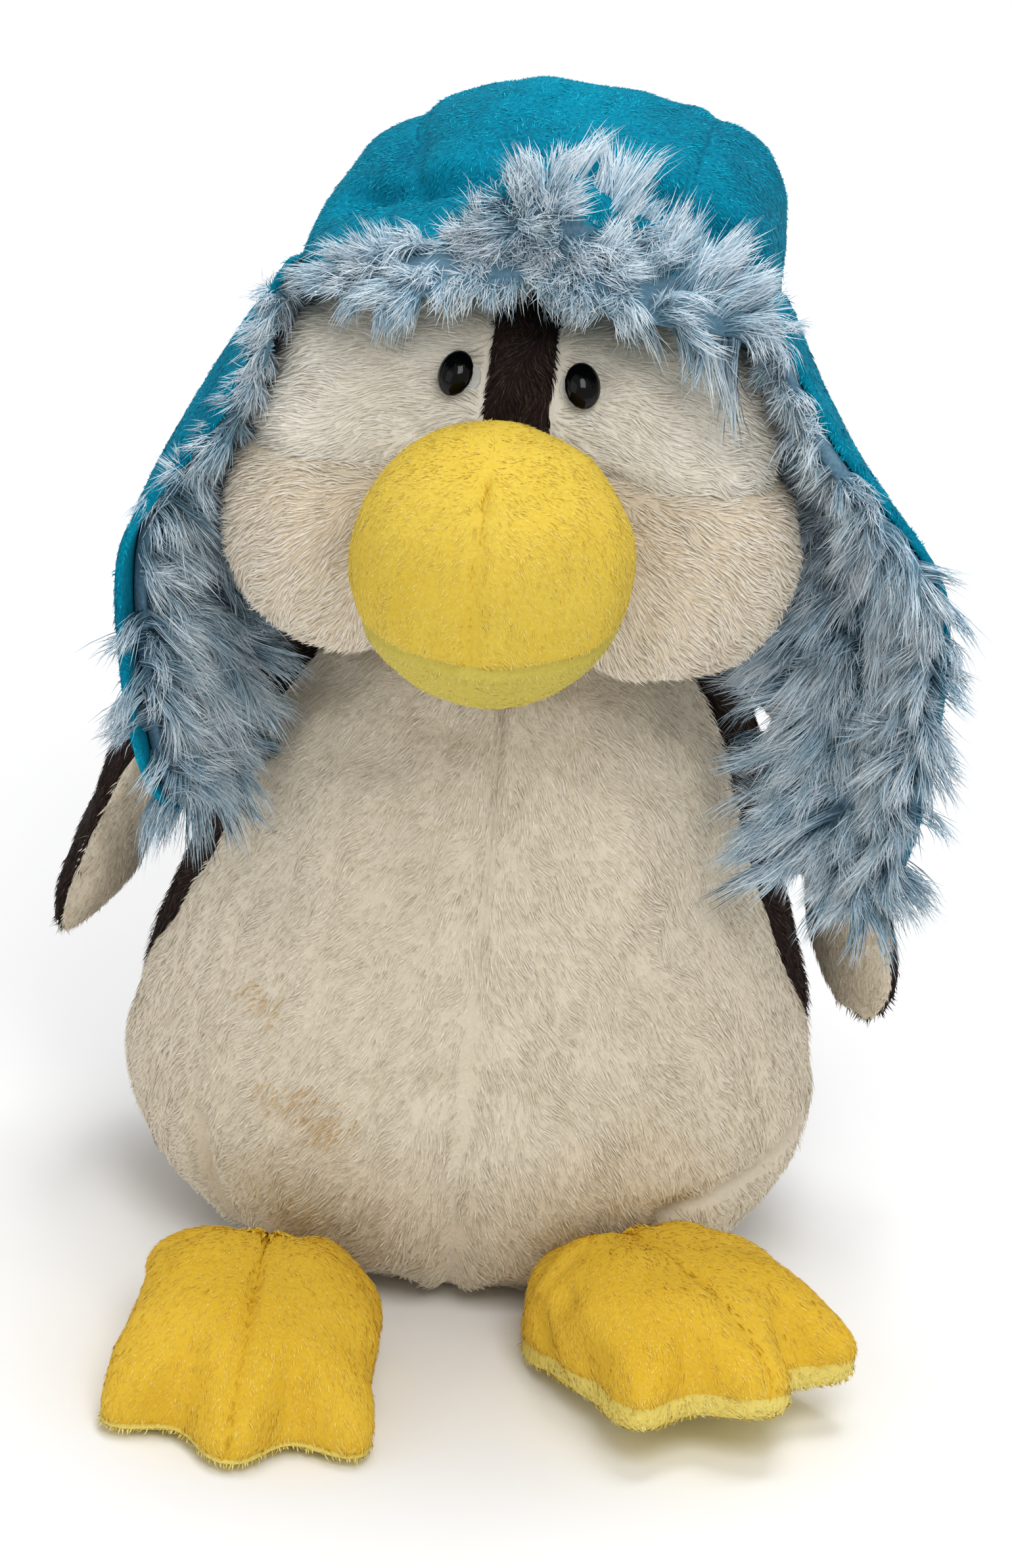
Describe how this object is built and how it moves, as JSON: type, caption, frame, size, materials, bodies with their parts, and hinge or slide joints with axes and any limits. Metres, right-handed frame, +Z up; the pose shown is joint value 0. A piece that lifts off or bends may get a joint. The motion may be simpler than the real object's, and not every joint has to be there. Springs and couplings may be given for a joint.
{
  "type": "plush penguin",
  "caption": "Soft plush penguin with flipper wings and three-toed feet, wearing a fur-lined trapper hat with liftable ear flaps.",
  "frame": {"origin": "on the floor, in the seat panel under the middle of the toy", "axes": "+Z up; the toy faces -Y; left and right in names are as seen from the front, so left is -X"},
  "size_m": [0.2179, 0.2197, 0.3231],
  "materials": {
    "cream_plush": "matte",
    "white_plush": "matte",
    "blush_plush": "matte",
    "brown_plush": "matte",
    "yellow_plush": "matte",
    "pale_yellow_plush": "matte",
    "teal_plush": "matte",
    "ice_fur": "matte",
    "filling": "matte",
    "pellets": "matte",
    "eye": "gloss",
    "washer": "satin"
  },
  "bodies": {
    "torso": {"belly_panel_left": "cream_plush", "belly_panel_right": "cream_plush", "back_panel_left": "brown_plush", "back_panel_right": "brown_plush", "base_panel": "cream_plush", "body_stuffing": "filling", "pellet_pouch": "pellets"},
    "neck": {"neck_core": "filling"},
    "head": {"brow_panel_left": "white_plush", "brow_panel_right": "white_plush", "forehead_stripe": "brown_plush", "cheek_left": "blush_plush", "cheek_right": "blush_plush", "head_back_left": "brown_plush", "head_back_right": "brown_plush", "head_stuffing": "filling", "eye_left": "eye", "eye_right": "eye", "eye_washer_left": "washer", "eye_washer_right": "washer", "beak_upper_left": "yellow_plush", "beak_upper_right": "yellow_plush", "beak_lower": "pale_yellow_plush", "beak_stuffing": "filling", "hat_crown_left": "teal_plush", "hat_crown_centre": "teal_plush", "hat_crown_right": "teal_plush"},
    "brow_flap": {"brow_flap_cover": "teal_plush", "brow_flap_fur": "ice_fur"},
    "ear_flap_left": {"ear_flap_left_cover": "teal_plush", "ear_flap_left_fur": "ice_fur"},
    "wing_left": {"wing_left_outer": "brown_plush", "wing_left_inner": "cream_plush", "wing_left_stuffing": "filling"},
    "foot_left": {"foot_left_upper_outer": "yellow_plush", "foot_left_upper_inner": "yellow_plush", "foot_left_sole": "pale_yellow_plush", "foot_left_stuffing": "filling"},
    "ear_flap_right": {"ear_flap_right_cover": "teal_plush", "ear_flap_right_fur": "ice_fur"},
    "wing_right": {"wing_right_outer": "brown_plush", "wing_right_inner": "cream_plush", "wing_right_stuffing": "filling"},
    "foot_right": {"foot_right_upper_outer": "yellow_plush", "foot_right_upper_inner": "yellow_plush", "foot_right_sole": "pale_yellow_plush", "foot_right_stuffing": "filling"}
  },
  "joints": [
    {"name": "head_turn", "type": "hinge", "parent": "torso", "child": "neck", "pos_m": [0.004, 0, 0.187], "axis": [0, 0, 1], "range_deg": [-10, 10], "stiffness_Nm_per_rad": 4},
    {"name": "head_nod", "type": "hinge", "parent": "neck", "child": "head", "pos_m": [0.004, 0, 0.187], "axis": [0.9954, -0.0958, 0], "range_deg": [-8, 10], "stiffness_Nm_per_rad": 4},
    {"name": "brow_flap_fold", "type": "hinge", "parent": "head", "child": "brow_flap", "pos_m": [-0.00612, -0.05528, 0.2964], "axis": [0.9944, -0.0957, 0.0436], "range_deg": [0, 70]},
    {"name": "ear_flap_left_lift", "type": "hinge", "parent": "head", "child": "ear_flap_left", "pos_m": [-0.06572, -0.00132, 0.27206], "axis": [0.1052, 0.9094, -0.4024], "range_deg": [0, 95]},
    {"name": "ear_flap_right_lift", "type": "hinge", "parent": "head", "child": "ear_flap_right", "pos_m": [0.06474, -0.01188, 0.27777], "axis": [-0.1052, -0.9094, 0.4024], "range_deg": [0, 95]},
    {"name": "wing_left_swing", "type": "hinge", "parent": "torso", "child": "wing_left", "pos_m": [-0.0735, 0.034, 0.158], "axis": [0, 1, 0], "range_deg": [-2, 75], "stiffness_Nm_per_rad": 0.08},
    {"name": "wing_right_swing", "type": "hinge", "parent": "torso", "child": "wing_right", "pos_m": [0.0785, 0.033, 0.158], "axis": [0, -1, 0], "range_deg": [-2, 75], "stiffness_Nm_per_rad": 0.08},
    {"name": "foot_left_lift", "type": "hinge", "parent": "torso", "child": "foot_left", "pos_m": [-0.047, -0.073, 0.016], "axis": [-0.9976, 0.0698, 0], "range_deg": [-5, 30], "stiffness_Nm_per_rad": 1},
    {"name": "foot_right_lift", "type": "hinge", "parent": "torso", "child": "foot_right", "pos_m": [0.049, -0.06, 0.0178], "axis": [-0.809, -0.5878, 0], "range_deg": [-5, 30], "stiffness_Nm_per_rad": 1}
  ]
}
